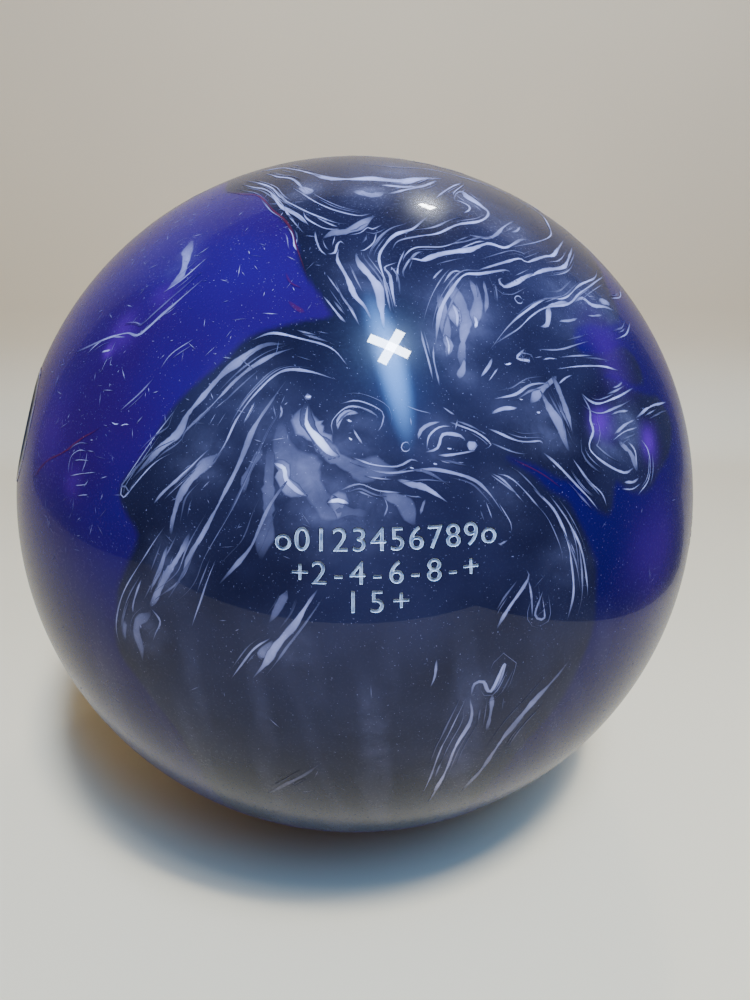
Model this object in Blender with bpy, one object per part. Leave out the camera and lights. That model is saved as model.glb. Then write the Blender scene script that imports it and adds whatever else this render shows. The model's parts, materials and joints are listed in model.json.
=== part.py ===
"""Ten-pin bowling ball, drilled for a right or left hand, with every bonded piece as its own object.

The ball's centre is the origin and +Z is up. A place on the ball is given by its azimuth, counted from
-Y towards +X, and its elevation above the equator, both in degrees. The engraved rows face -Y.
"""

import math

import bmesh
import bpy
from mathutils import Matrix, Vector

# Ball
BALL_RADIUS = 0.1085
SHELL_THICKNESS = 0.020
GAP = 0.0003  # clearance, or glue film, between pieces that touch

# Grip: one thumb hole and two finger holes, each with its glued sleeve
THUMB_PLACE = (-68.5, 19.5)
THUMB_HOLE_RADIUS = 0.01588
THUMB_HOLE_DEPTH = 0.068
THUMB_BORE_RADIUS = 0.0125
THUMB_BORE_DEPTH = 0.058
FINGER_PAIR_PLACE = (180.0, 80.0)
FINGER_BRIDGE = 0.0064
FINGER_HOLE_RADIUS = 0.0123
FINGER_HOLE_DEPTH = 0.050
FINGER_BORE_RADIUS = 0.0104
FINGER_INSERT_LENGTH = 0.038

# Core
PIN_PLACE = (180.0, 36.0)
PIN_RADIUS = 0.006
BLOCK_TOP = 0.056  # the weight block's two ends, from the ball's centre along the pin's axis
BLOCK_FOOT = -0.048
BLOCK_NECK_RADIUS = 0.020
BLOCK_EDGE_RADIUS = 0.006
BULB_RADIUS = 0.041
BULB_HALF_HEIGHT = 0.050
BULB_CENTRE = -0.008
INSERT_RADIUS = 0.016
INSERT_HEIGHT = 0.024

# Marks
CG_PLACE = (168.0, 58.0)
CG_RADIUS = 0.0016
CG_DEPTH = 0.0008
GLYPH_SIZE = 0.0070
GLYPH_GAP = 0.00015
GLYPH_TOP = 0.00035  # the paint lies this far under the surface
GLYPH_BOTTOM = 0.00085
GROOVE_DEPTH = 0.00115
# characters, elevation, azimuth of the middle, pitch
ROWS = (
    ("o0123456789o", 15.0, 3.3, 2.16),
    ("+2-4-6-8-+", 11.3, 3.1, 2.16),
    ("15+", 8.0, 2.0, 2.7),
)

# Facets
BALL_SEGMENTS = 56
CORE_SEGMENTS = 32
SLEEVE_SEGMENTS = 32
PIN_SEGMENTS = 16


def clear_scene():
    for old in list(bpy.data.objects):
        bpy.data.objects.remove(old, do_unlink=True)


def material(name, colour, roughness, metallic=0.0):
    made = bpy.data.materials.new(name)
    made.use_nodes = True
    shader = made.node_tree.nodes["Principled BSDF"]
    shader.inputs["Base Color"].default_value = (*colour, 1.0)
    shader.inputs["Roughness"].default_value = roughness
    shader.inputs["Metallic"].default_value = metallic
    return made


def direction(place):
    """The unit vector from the ball's centre to a place on its surface."""
    azimuth, elevation = (math.radians(angle) for angle in place)
    flat = math.cos(elevation)
    return Vector((flat * math.sin(azimuth), -flat * math.cos(azimuth), math.sin(elevation)))


def facing(outward):
    """A rotation whose Z points outward, with its X level, as on a label that reads upright."""
    out = outward.normalized()
    across = Vector((0.0, 0.0, 1.0)).cross(out).normalized()
    return Matrix((across, out.cross(across), out)).transposed().to_4x4()


def add_object(name, mesh, matrix=None, look=None):
    made = bpy.data.objects.new(name, mesh)
    bpy.context.collection.objects.link(made)
    if matrix is not None:
        made.matrix_world = matrix
    if look is not None:
        mesh.materials.append(look)
    return made


def as_cutter(piece):
    piece.hide_render = True
    piece.display_type = "WIRE"
    return piece


def boolean(piece, operation, tool):
    step = piece.modifiers.new(f"{operation.lower()} {tool.name}", "BOOLEAN")
    step.operation = operation
    step.object = tool


def sphere_mesh(name, radius, segments):
    mesh = bpy.data.meshes.new(name)
    shape = bmesh.new()
    bmesh.ops.create_uvsphere(shape, u_segments=segments, v_segments=segments // 2, radius=radius)
    shape.to_mesh(mesh)
    shape.free()
    mesh.shade_smooth()
    return mesh


def turned(name, outline, segments, matrix, look=None):
    """A solid of revolution about its own Z, from (radius, height) points that run from top to bottom."""
    mesh = bpy.data.meshes.new(name)
    corners = [(radius, 0.0, height) for radius, height in outline]
    mesh.from_pydata(corners, [(i, i + 1) for i in range(len(corners) - 1)], [])
    piece = add_object(name, mesh, matrix, look)
    spin = piece.modifiers.new("turn", "SCREW")
    spin.steps = segments
    spin.render_steps = segments
    spin.use_merge_vertices = True
    spin.merge_threshold = 0.00001
    return piece


def arc(centre, radii, start, end, steps):
    """(radius, height) points on an ellipse, with the angle counted from the outward direction."""
    points = []
    for step in range(steps + 1):
        angle = math.radians(start + (end - start) * step / steps)
        points.append((centre[0] + radii[0] * math.cos(angle), centre[1] + radii[1] * math.sin(angle)))
    return points


def grip_axes():
    """Where each grip hole's axis stands: its Z points out of the mouth, from the level of the ball's centre.

    The thumb hole points at the ball's centre. The finger holes are parallel to the line to their middle,
    so they keep the same bridge of resin between them all the way down.
    """
    thumb = facing(direction(THUMB_PLACE))
    middle = direction(FINGER_PAIR_PLACE)
    side = middle.cross(direction(THUMB_PLACE)).normalized()
    half_pitch = FINGER_HOLE_RADIUS + FINGER_BRIDGE / 2
    fingers = [Matrix.Translation(side * half_pitch * sign) @ facing(middle) for sign in (-1, 1)]
    return thumb, fingers


def bore_cutter(name, axis, radius, foot):
    """A drill that stands out of the ball and ends at this height above the centre, on its own axis."""
    top = BALL_RADIUS * 1.1
    outline = [(0.0, top), (radius, top), (radius, foot), (0.0, foot)]
    return as_cutter(turned(name, outline, SLEEVE_SEGMENTS, axis))


def block_outline(grow=0.0):
    """The weight block: a flat-topped neck on a bulb, the shape of a light bulb stood on its foot."""
    edge = BLOCK_EDGE_RADIUS
    neck = BLOCK_NECK_RADIUS + grow
    top = BLOCK_TOP + grow
    foot = BLOCK_FOOT - grow
    bulb = (BULB_RADIUS + grow, BULB_HALF_HEIGHT + grow)
    corner = arc((neck - edge, top - edge), (edge, edge), 90.0, 0.0, 3)
    neck_angle = math.degrees(math.acos(neck / bulb[0]))
    foot_angle = math.degrees(math.asin((foot - BULB_CENTRE) / bulb[1]))
    body = arc((0.0, BULB_CENTRE), bulb, neck_angle, foot_angle, 9)
    return [(0.0, top), *corner, *body, (0.0, foot)]


def make_block(look, insert_look):
    along_pin = facing(direction(PIN_PLACE))
    block = turned("weight_block", block_outline(), CORE_SEGMENTS, along_pin, look)
    foot = BLOCK_FOOT
    socket = [(0.0, foot + INSERT_HEIGHT), (INSERT_RADIUS, foot + INSERT_HEIGHT)]
    socket += [(INSERT_RADIUS, foot - INSERT_HEIGHT), (0.0, foot - INSERT_HEIGHT)]
    drill = as_cutter(turned("insert_socket_cutter", socket, CORE_SEGMENTS, along_pin))
    boolean(block, "DIFFERENCE", drill)
    radius = INSERT_RADIUS - GAP
    top = foot + INSERT_HEIGHT - GAP
    puck = [(0.0, top), (radius - 0.002, top), (radius, top - 0.002), (radius, foot), (0.0, foot)]
    turned("dense_insert", puck, CORE_SEGMENTS, along_pin, insert_look)
    return block


def make_pin(look, ball):
    """The peg runs from the block's top to the ball's surface, and is trimmed flush with it."""
    radius = PIN_RADIUS - GAP
    top = BALL_RADIUS * 1.05
    outline = [(0.0, top), (radius, top), (radius, BLOCK_TOP + GAP), (0.0, BLOCK_TOP + GAP)]
    peg = turned("locating_pin", outline, PIN_SEGMENTS, facing(direction(PIN_PLACE)), look)
    boolean(peg, "INTERSECT", ball)


def make_thumb_slug(axis, look, ball):
    """A closed-bottomed plug with the thumb's bore in it, trimmed flush with the ball."""
    outer = THUMB_HOLE_RADIUS - GAP
    top = BALL_RADIUS * 1.05
    floor = BALL_RADIUS - THUMB_BORE_DEPTH
    foot = BALL_RADIUS - THUMB_HOLE_DEPTH + GAP
    outline = [(0.0, floor), (THUMB_BORE_RADIUS, floor), (THUMB_BORE_RADIUS, top)]
    outline += [(outer, top), (outer, foot), (0.0, foot)]
    slug = turned("thumb_slug", outline, SLEEVE_SEGMENTS, axis, look)
    boolean(slug, "INTERSECT", ball)


def make_finger_insert(name, axis, look, ball):
    """A sleeve open at both ends, trimmed flush with the ball."""
    outer = FINGER_HOLE_RADIUS - GAP
    top = BALL_RADIUS * 1.05
    foot = BALL_RADIUS - FINGER_INSERT_LENGTH
    outline = [(FINGER_BORE_RADIUS, foot), (FINGER_BORE_RADIUS, top), (outer, top)]
    outline += [(outer, foot), (FINGER_BORE_RADIUS, foot)]
    insert = turned(name, outline, SLEEVE_SEGMENTS, axis, look)
    boolean(insert, "INTERSECT", ball)


def widen(shape, spread):
    """Moves the walls of an upright slab out by spread, each corner along the line that halves it."""
    for corner in shape.verts:
        sideways = Vector((corner.normal.x, corner.normal.y, 0.0)).normalized()
        corner.co += sideways * spread


def glyph_mesh(character, spread, top, bottom):
    """One character as a flat-topped slab between two heights, its outline moved out by spread."""
    text = bpy.data.curves.new("glyph", "FONT")
    text.body = character
    text.size = GLYPH_SIZE
    text.align_x = "CENTER"
    text.align_y = "CENTER"
    text.resolution_u = 2
    text.extrude = (top - bottom) / 2
    holder = add_object("glyph", text)
    graph = bpy.context.evaluated_depsgraph_get()
    mesh = bpy.data.meshes.new_from_object(holder.evaluated_get(graph))
    bpy.data.objects.remove(holder)
    shape = bmesh.new()
    shape.from_mesh(mesh)
    bmesh.ops.remove_doubles(shape, verts=shape.verts, dist=0.000002)
    bmesh.ops.translate(shape, verts=shape.verts, vec=(0.0, 0.0, (top + bottom) / 2))
    bmesh.ops.recalc_face_normals(shape, faces=shape.faces)
    shape.normal_update()
    widen(shape, spread)
    shape.to_mesh(mesh)
    shape.free()
    return mesh


def glyph_places():
    """(row, column, character, place) of each engraved character."""
    for row, (characters, elevation, middle, pitch) in enumerate(ROWS, start=1):
        for column, character in enumerate(characters, start=1):
            offset = column - (len(characters) + 1) / 2
            yield row, column, character, (middle + offset * pitch, elevation)


def make_engraving(look):
    """The paint in each engraved character, and the cutters of its groove, returned as a collection."""
    cutters = bpy.data.collections.new("groove_cutters")
    bpy.context.scene.collection.children.link(cutters)
    for row, column, character, place in glyph_places():
        matrix = facing(direction(place))
        paint = glyph_mesh(character, 0.0, BALL_RADIUS - GLYPH_TOP, BALL_RADIUS - GLYPH_BOTTOM)
        add_object(f"paint_row{row}_{column:02d}", paint, matrix, look)
        groove = glyph_mesh(character, GLYPH_GAP, BALL_RADIUS + GROOVE_DEPTH, BALL_RADIUS - GROOVE_DEPTH)
        cutter = as_cutter(add_object(f"groove_cutter_{row}_{column:02d}", groove, matrix))
        bpy.context.collection.objects.unlink(cutter)
        cutters.objects.link(cutter)
    return cutters


def make_cg_mark(look):
    """A small painted dot in its own shallow recess."""
    radius = CG_RADIUS - GLYPH_GAP
    top = BALL_RADIUS - GLYPH_TOP
    foot = BALL_RADIUS - CG_DEPTH + GLYPH_GAP
    dot = [(0.0, top), (radius, top), (radius, foot), (0.0, foot)]
    return turned("cg_mark", dot, PIN_SEGMENTS, facing(direction(CG_PLACE)), look)


def main():
    clear_scene()
    resin = material("coverstock_resin", (0.015, 0.018, 0.075), 0.06)
    filler_resin = material("core_filler_resin", (0.62, 0.55, 0.42), 0.7)
    block_resin = material("weight_block_resin", (0.55, 0.13, 0.08), 0.6)
    dense_resin = material("dense_insert_resin", (0.12, 0.12, 0.14), 0.55)
    pin_resin = material("pin_resin", (0.75, 0.78, 0.82), 0.25)
    slug_urethane = material("thumb_slug_urethane", (0.02, 0.02, 0.025), 0.35)
    insert_vinyl = material("finger_insert_vinyl", (0.03, 0.03, 0.035), 0.55)
    paint = material("engraving_paint", (0.85, 0.86, 0.88), 0.45)

    inner_radius = BALL_RADIUS - SHELL_THICKNESS
    along_pin = facing(direction(PIN_PLACE))
    thumb_axis, finger_axes = grip_axes()
    thumb_foot = BALL_RADIUS - THUMB_HOLE_DEPTH
    finger_foot = BALL_RADIUS - FINGER_HOLE_DEPTH
    drills = [bore_cutter("thumb_drill", thumb_axis, THUMB_HOLE_RADIUS, thumb_foot)]
    for number, axis in enumerate(finger_axes, start=1):
        drills.append(bore_cutter(f"finger_drill_{number}", axis, FINGER_HOLE_RADIUS, finger_foot))
    pin_drill = bore_cutter("pin_drill", along_pin, PIN_RADIUS, BLOCK_TOP)

    ball = sphere_mesh("coverstock", BALL_RADIUS, BALL_SEGMENTS)
    ball_trim = as_cutter(add_object("ball_trim", ball.copy()))
    coverstock = add_object("coverstock", ball, look=resin)
    hollow = add_object("shell_hollow_cutter", sphere_mesh("hollow", inner_radius, CORE_SEGMENTS))
    boolean(coverstock, "DIFFERENCE", as_cutter(hollow))
    for drill in (*drills, pin_drill):
        boolean(coverstock, "DIFFERENCE", drill)
    cg_axis = facing(direction(CG_PLACE))
    boolean(coverstock, "DIFFERENCE", bore_cutter("cg_drill", cg_axis, CG_RADIUS, BALL_RADIUS - CG_DEPTH))
    engraving = coverstock.modifiers.new("engrave", "BOOLEAN")
    engraving.operand_type = "COLLECTION"
    engraving.collection = make_engraving(paint)

    filler = add_object(
        "core_filler", sphere_mesh("core_filler", inner_radius - GAP, CORE_SEGMENTS), look=filler_resin
    )
    room = as_cutter(turned("block_room_cutter", block_outline(GAP), CORE_SEGMENTS, along_pin))
    boolean(filler, "DIFFERENCE", room)
    for drill in (*drills, pin_drill):
        boolean(filler, "DIFFERENCE", drill)

    block = make_block(block_resin, dense_resin)
    for drill in drills:
        boolean(block, "DIFFERENCE", drill)
    make_pin(pin_resin, ball_trim)
    make_thumb_slug(thumb_axis, slug_urethane, ball_trim)
    for number, axis in enumerate(finger_axes, start=1):
        make_finger_insert(f"finger_insert_{number}", axis, insert_vinyl, ball_trim)
    make_cg_mark(paint)


main()
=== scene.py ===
"""Looks of a drilled ten-pin bowling ball: marbled resin shell, engraving, grip sleeves and core."""
import json
import math

import bmesh
import bpy
import numpy as np
from mathutils import Matrix, Vector

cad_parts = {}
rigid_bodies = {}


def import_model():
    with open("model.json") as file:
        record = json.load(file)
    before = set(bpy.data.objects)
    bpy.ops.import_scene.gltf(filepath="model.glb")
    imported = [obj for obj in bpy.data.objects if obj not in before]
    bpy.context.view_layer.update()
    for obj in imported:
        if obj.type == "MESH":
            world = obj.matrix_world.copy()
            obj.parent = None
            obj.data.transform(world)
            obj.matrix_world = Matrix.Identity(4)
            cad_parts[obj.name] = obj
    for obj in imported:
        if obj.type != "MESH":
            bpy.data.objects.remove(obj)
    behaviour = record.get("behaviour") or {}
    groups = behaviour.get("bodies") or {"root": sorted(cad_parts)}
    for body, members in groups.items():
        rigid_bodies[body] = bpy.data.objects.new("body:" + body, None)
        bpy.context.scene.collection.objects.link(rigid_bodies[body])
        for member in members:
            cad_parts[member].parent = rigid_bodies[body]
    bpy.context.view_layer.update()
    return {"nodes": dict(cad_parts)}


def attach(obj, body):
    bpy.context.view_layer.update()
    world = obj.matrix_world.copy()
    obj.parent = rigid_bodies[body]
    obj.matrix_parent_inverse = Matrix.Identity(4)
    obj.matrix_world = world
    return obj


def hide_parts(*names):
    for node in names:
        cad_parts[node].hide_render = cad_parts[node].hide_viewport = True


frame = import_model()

MM = 0.001

# The ball, as in the CAD model
BALL_RADIUS = 0.1085
SHELL_THICKNESS = 0.020
GAP = 0.0003
THUMB_PLACE = (-68.5, 19.5)
THUMB_HOLE_RADIUS = 0.01588
THUMB_HOLE_DEPTH = 0.068
THUMB_BORE_RADIUS = 0.0125
THUMB_BORE_DEPTH = 0.058
FINGER_PAIR_PLACE = (180.0, 80.0)
FINGER_BRIDGE = 0.0064
FINGER_HOLE_RADIUS = 0.0123
FINGER_HOLE_DEPTH = 0.050
FINGER_BORE_RADIUS = 0.0104
FINGER_INSERT_LENGTH = 0.038
PIN_PLACE = (180.0, 36.0)
PIN_RADIUS = 0.006
PIN_FOOT = 0.056
CG_PLACE = (168.0, 58.0)
CG_RADIUS = 0.0016
CG_DEPTH = 0.0008
GLYPH_SIZE = 0.0070
GLYPH_GAP = 0.00015
GLYPH_TOP = 0.00030
GLYPH_BOTTOM = 0.00085
GROOVE_DEPTH = 0.00115
# Rows of characters: text, elevation, azimuth of the middle, pitch in degrees
ROWS = (
    ("o0123456789o", 15.0, 3.3, 2.16),
    ("+2-4-6-8-+", 11.3, 3.1, 2.16),
    ("15+", 8.0, 2.0, 2.7),
)

# Camera
CAMERA_DISTANCE = 0.2559
CAMERA_ELEVATION = 20.0
LENS = 26.0
FOCAL_PIXELS = 722.0
SENSOR_WIDTH = 36.0
# How far the frame's middle lies right of and below the ball's centre, in pixels
FRAME_RIGHT, FRAME_DOWN = 16.5, 5.0

# Shell mesh: subdivisions, the reach of the finer cap on the face in degrees, and how far under the surface
# a corner may lie and still be shaded as part of a true sphere
SHELL_LEVEL = 7
CAP_REACH = 62.0
FACE_TOLERANCE = 0.00012

# Veins: random seed, heights above the surface (each vein has its own, so that none flickers where two cross),
# the number of flecks, and how wide the drawn widths come out
VEIN_SEED = 71
VEIN_LIFT = 0.02 * MM
LIFT_STEP = 0.0004 * MM
LIFT_STEPS = 240
# height of the pale rings painted round the holes' mouths as highlights
MOUTH_HIGHLIGHT_LIFT = 0.12 * MM
FLECK_COUNT = 900
BROAD_SCALE, FINE_SCALE = 0.82, 0.64
# Angles in radians that veins keep away from the middles of holes, pin, mark and characters
THUMB_CLEAR, FINGER_CLEAR, PIN_CLEAR, MARK_CLEAR, GLYPH_CLEAR = 0.158, 0.128, 0.062, 0.022, 0.0235

# Lamps and sheet
COOL_WHITE = (0.74, 0.85, 1.0)
NEAR_WHITE = (0.95, 0.97, 1.0)
GLOW_BLUE = (0.13, 0.36, 1.0)
GLOW_FADE = 3.0
BAR_WIDTH = 0.05
SHEET_LEFT, SHEET_RIGHT, SHEET_FRONT, SHEET_BEHIND = -0.80, 0.27, -0.46, 0.46
SHEET_BEND, SHEET_TOP = 0.10, 0.90
FLARE, FLARE_START, FLARE_LENGTH = 0.36, 0.08, 0.28

# Marbling. A place is (across, up) in degrees on the face that looks at the camera, from the face's middle.
# A vein is (width in mm, strength, places along it). A strength over 1 is a painted highlight: a white glint
# painted into the colour.
VEINS_AND_GLINTS = (
    # crown
    (0.5, 0.8, (-1, 54), (9, 53), (18, 54), (27, 53), (36, 51), (41, 47), (42, 45), (39, 41),
     (36, 38), (31, 35.5), (23, 32.5)),
    (2.7, 0.9, (-10.5, 50.5), (-6.5, 48), (-2, 47), (4, 47), (9, 47), (12.5, 48), (19.5, 50)),
    (0.8, 0.8, (-27, 55), (-19, 55), (-15, 53), (-10.5, 50.5), (-7, 48.3)),
    (1.5, 0.8, (4.5, 45), (8.5, 44.9), (12, 45.5)),
    (1.2, 0.7, (5.5, 42.5), (8, 43.5), (12.5, 45.5), (17, 48.5)),
    (2.6, 0.45, (-0.5, 43), (2.5, 42), (5, 43)),
    (0.7, 0.8, (-22, 53), (-17, 50), (-13.5, 48.5), (-11, 46), (-9, 43.5)),
    (2.3, 0.55, (-10.5, 45), (-9, 43.5), (-8, 42.5)),
    # bundle from the top left
    (0.5, 0.8, (-12, 45), (-8, 41.5), (-5.5, 39.5), (-3, 38), (0.3, 37), (2.5, 37.5)),
    (0.5, 0.9, (-26, 51), (-20, 48), (-16, 45.5), (-13, 42), (-9, 39), (-6, 37), (-3, 35.5), (-1, 35.3)),
    (0.5, 0.8, (-25, 49), (-21, 47), (-17, 45), (-12.5, 40.5), (-11, 38), (-9.5, 36), (-7.5, 33.5)),
    (1.0, 0.9, (-16.5, 45), (-15, 43), (-12.5, 40), (-10.7, 38.5), (-9, 37), (-7.5, 35.5)),
    (0.5, 0.7, (-11, 39), (-9, 37.5), (-7, 35)),
    (0.5, 0.8, (-8.5, 38.5), (-7.5, 36.5), (-5, 34.6), (-3.3, 34.2), (-2.5, 34.4)),
    (0.5, 0.7, (-6.3, 37), (-5, 36), (-3.5, 35), (-2.7, 34.7)),
    (0.4, 0.7, (-6, 34), (-5.7, 32.3), (-5, 30.5), (-4, 29.5)),
    (2.2, 0.4, (-4.8, 32.5), (-3.3, 33.4), (-1.7, 33.7), (0, 34.8), (3, 37)),
    (0.5, 1.0, (-10.3, 35), (-9.3, 33.5), (-8.7, 31.5), (-8.2, 30.5)),
    # fan towards the middle
    (0.5, 0.7, (-1.3, 33), (0.6, 33.5), (1.7, 34.5), (2.4, 34.2), (4, 35.2)),
    (0.4, 0.7, (3, 33.7), (2.4, 31.7), (1.1, 30.4), (0.4, 30.3)),
    (0.5, 0.7, (-4, 29.8), (-3, 30), (-2.7, 31.3), (-2.2, 31.9), (-1.6, 31.3)),
    (1.0, 0.9, (-2.4, 30.8), (-2.5, 28.8), (-1.4, 26.2), (-0.2, 23.5), (0.9, 22), (1.7, 20.1)),
    (1.7, 0.9, (0, 30), (0.2, 28.8), (1.9, 26), (2.6, 24.2), (3.1, 21), (3.2, 19)),
    (0.8, 0.9, (11.5, 37.5), (8.5, 34.7), (6, 33.5), (4.2, 31.5), (3, 29), (3.6, 25.4), (4.1, 21.2)),
    (0.6, 0.8, (5.5, 28.5), (3.7, 27.6), (4.4, 26.3), (4.5, 23.4), (4.7, 21.7)),
    (0.4, 0.8, (15.6, 33), (12.2, 31.5), (8.3, 31), (6.6, 29.6), (6.2, 28.5)),
    (0.5, 0.8, (6.7, 30.6), (5.6, 28), (5.3, 26.5), (5.1, 25.3)),
    (0.5, 0.7, (-3.9, 26.5), (-2.9, 25), (-0.9, 21.8), (0.3, 19.3)),
    (0.5, 0.6, (-4.2, 23.4), (-2.2, 20.8), (-1.3, 19.7)),
    (1.3, 0.9, (28.8, 35.5), (26.6, 34.9), (22.8, 32.7), (20, 33), (16.2, 31.5), (11.2, 29.9),
     (8.8, 29), (7.4, 29.2), (6.1, 27), (6.3, 26)),
    (0.6, 0.7, (15, 31.5), (18, 33), (19.7, 33.4)),
    # hooked loop at the upper right
    (0.5, 0.8, (23.5, 49.3), (21, 47.8), (16.5, 44.5), (14, 42)),
    (0.4, 0.7, (23.5, 48.6), (19, 45), (18, 43.5)),
    (0.7, 0.9, (17.5, 42), (19, 44.4), (21, 45.5), (22, 43.5), (23.6, 40.5), (21, 38), (16.2, 36.3),
     (12.4, 34.1), (9, 33.2), (6, 32.1), (4.9, 30.5)),
    (2.0, 0.9, (20.8, 45.6), (22, 43.5), (22.9, 41.8), (23.6, 40.2)),
    (0.6, 0.8, (17.5, 42), (18.6, 42.3), (20, 41.3), (19.6, 40.2), (18, 39)),
    (0.9, 0.5, (17, 34.3), (20.8, 34.2), (24.7, 37.2), (28.6, 39.5)),
    (0.7, 0.5, (25.7, 36.3), (27.3, 37), (29, 38.3)),
    # bands to the right
    (0.8, 0.9, (16.3, 27.7), (19.3, 29), (23.7, 30.8), (25, 31), (26, 30.6), (30.3, 32.5),
     (33.3, 33.6), (40, 38.2)),
    (1.0, 0.8, (20, 26), (23, 27.2), (27.5, 29.2), (33, 31), (37, 33.7), (41.5, 37.2)),
    (0.7, 0.9, (16, 16.7), (19, 19.8), (22.8, 22.7), (26.3, 24.6), (30.3, 25.4), (34.7, 28),
     (41.5, 31), (45, 33.3)),
    (0.7, 0.8, (16.5, 17.3), (20.4, 19.7), (23, 21.7), (26, 23.3), (30.9, 24.7), (35, 27.2),
     (43.5, 31.2), (46, 32.5)),
    (1.3, 0.7, (26, 23.4), (28.5, 24.3), (31, 24.7)),
    (1.2, 0.7, (26.8, 23.7), (26.1, 22.3), (25.2, 20.8), (24, 20.4)),
    (1.0, 0.7, (32, 25), (34.5, 26), (36, 25.3), (39.3, 25.5), (42, 25.3)),
    (2.2, 0.5, (38.6, 26.4), (40, 26.6), (41.6, 26.3)),
    (0.6, 0.5, (27.5, 21.5), (29.5, 21.9), (31.5, 22.5)),
    (0.6, 0.5, (33.7, 23.2), (35.5, 23.4), (37.5, 23.8)),
    (0.5, 0.6, (38.3, 20.3), (40.5, 21), (43, 22), (46, 24.3)),
    (0.5, 0.4, (22.7, 17.2), (26.5, 17.6), (32.3, 19.3)),
    (0.6, 0.6, (51, 31), (48, 29), (43, 27.5)),
    # fin and its cloud
    (1.2, 0.9, (9.2, 17), (9.9, 20.1), (11.5, 23.6), (14.3, 26.9), (17, 27.4), (21.2, 28.6), (21.9, 28.2)),
    (1.0, 0.8, (20.3, 27.2), (19.6, 26.8), (20.1, 25.8), (22.7, 27), (26.3, 28.8)),
    (0.5, 0.7, (9.9, 26), (10.6, 26.8), (11.7, 27.8)),
    (0.6, 0.7, (11.2, 25.4), (13, 27.4), (14.5, 27.5)),
    (1.6, 0.5, (12.6, 15.5), (12.2, 14.2), (11.7, 13)),
    (0.5, 0.6, (7.6, 19), (7.9, 17), (8.6, 12.7)),
    (0.5, 0.6, (9, 17), (8.9, 15), (9.3, 12.1)),
    (2.6, 0.34, (10.3, 24), (10.9, 20), (10.4, 15.5)),
    (3.0, 0.34, (12.4, 26), (13.3, 22), (12.8, 18), (12.2, 14)),
    (2.2, 0.30, (15.2, 26.4), (15.5, 23), (14.6, 19.5)),
    (1.2, 0.34, (17.2, 26.4), (17.0, 24), (16.2, 21.5)),
    # painted highlights: white glints painted into the colour
    (0.9, 1.3, (12.0, 22.6), (12.4, 21), (12.2, 19.4)),
    (0.8, 1.3, (10.6, 18.4), (10.9, 17), (10.7, 15.8)),
    (0.6, 1.2, (14.6, 21.2), (14.8, 20.2), (14.5, 19.4)),
    # small hooks right of the middle
    (0.8, 0.7, (20.9, 17.2), (19.6, 15.9), (21.3, 15.7), (20.9, 15.3)),
    (0.8, 0.6, (16.2, 15.7), (15.7, 14.7), (14.4, 13.3)),
    (0.6, 0.6, (15.3, 12.8), (16, 13.6), (16.8, 14.5)),
    (0.7, 0.7, (23.6, 13), (20.8, 12.6), (18.5, 11.4), (15.7, 10.7)),
    (0.6, 0.8, (25, 14.8), (29.3, 15.6), (33.8, 15.9), (37, 15.7)),
    (0.5, 0.6, (25, 13), (26.4, 13.9), (27.6, 14.3)),
    (0.9, 1.0, (28.5, 12.1), (29.7, 11.2), (31.4, 10.9), (35, 12), (39.5, 13.6)),
    (0.5, 0.5, (34.6, 13.2), (36, 13.6), (37.2, 14.2)),
    (2.0, 0.45, (20.5, 10.5), (23.3, 12.7), (25, 14)),
    (1.1, 0.9, (15.3, 9), (16.9, 9.6), (18.7, 9.8)),
    # left lobe
    (0.7, 0.8, (-12.7, 17.8), (-10, 18.6), (-6.5, 17.8), (-3, 16.5), (-1.1, 14.4)),
    (1.7, 0.8, (-8.5, 17.2), (-11.2, 17), (-14.6, 15), (-17.5, 11.8), (-19.9, 9.3), (-21, 6.9),
     (-23.8, 5.1), (-27.3, 2)),
    (1.1, 0.7, (-7.2, 16.7), (-10.6, 15.6), (-13.8, 13.2), (-17.2, 9.8), (-20.1, 7.1), (-20.2, 6)),
    (0.4, 0.7, (-20.8, 5.2), (-23.7, 4), (-26.8, 1.4), (-28.5, 0), (-28.8, 1.2), (-26.2, 4.4),
     (-22.7, 8.5), (-21, 10.6)),
    (0.7, 0.7, (-2.2, 12.7), (-5.5, 13.8), (-8.7, 13.8), (-11.4, 11.6), (-13.4, 8.8), (-14.9, 5.8),
     (-16.3, 3.8)),
    (0.9, 0.7, (-16.7, 5.3), (-19.6, 2.9), (-22.6, 0.5), (-24, -0.8)),
    (2.1, 0.7, (-15.2, 5), (-17.4, 3.2), (-20.2, 0.7), (-21.2, -1.9), (-21.8, -4.3)),
    (1.3, 0.7, (-7.9, 13), (-9.6, 10.6), (-11.2, 8), (-12.7, 4.7), (-15.5, -0.8), (-19, -6),
     (-20.9, -9.3), (-25, -12)),
    (2.1, 0.7, (-19.3, -4.1), (-21.5, -7.4), (-24.2, -10.7), (-26, -12.9)),
    (1.2, 0.6, (-22.3, -5.5), (-23.8, -8.3), (-25.6, -11.2)),
    (0.4, 0.6, (-22.4, -3.2), (-25.7, -6.8), (-30.3, -11.9), (-32.6, -16), (-32.8, -19.3)),
    (0.7, 0.6, (-26.6, -9.6), (-28.5, -12.5), (-29, -13.9)),
    (0.7, 0.4, (-25.9, -13.1), (-24.8, -14.7), (-25.9, -16.3), (-26.7, -17.4)),
    (2.0, 0.4, (-25.9, -13.5), (-28.6, -15.5), (-29.2, -18.9), (-29.5, -20.6)),
    (1.5, 0.35, (-30.6, -15.1), (-31.2, -16.4), (-31.6, -17.8)),
    (1.2, 0.6, (-7.7, 1.6), (-9.9, -1.3), (-11.8, -5.4), (-14.1, -7.8), (-16.1, -9.9)),
    (0.4, 0.5, (-16.2, -7), (-17.6, -9.7), (-20.4, -15.2)),
    (0.6, 0.6, (-8.6, 10), (-8.4, 9.2), (-8.7, 8.4)),
    (0.6, 0.6, (-11.6, 10.4), (-12.3, 9), (-12.8, 8)),
    (2.4, 0.3, (-10.6, 5.3), (-12.3, 1.9), (-12.7, 0.3)),
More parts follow.
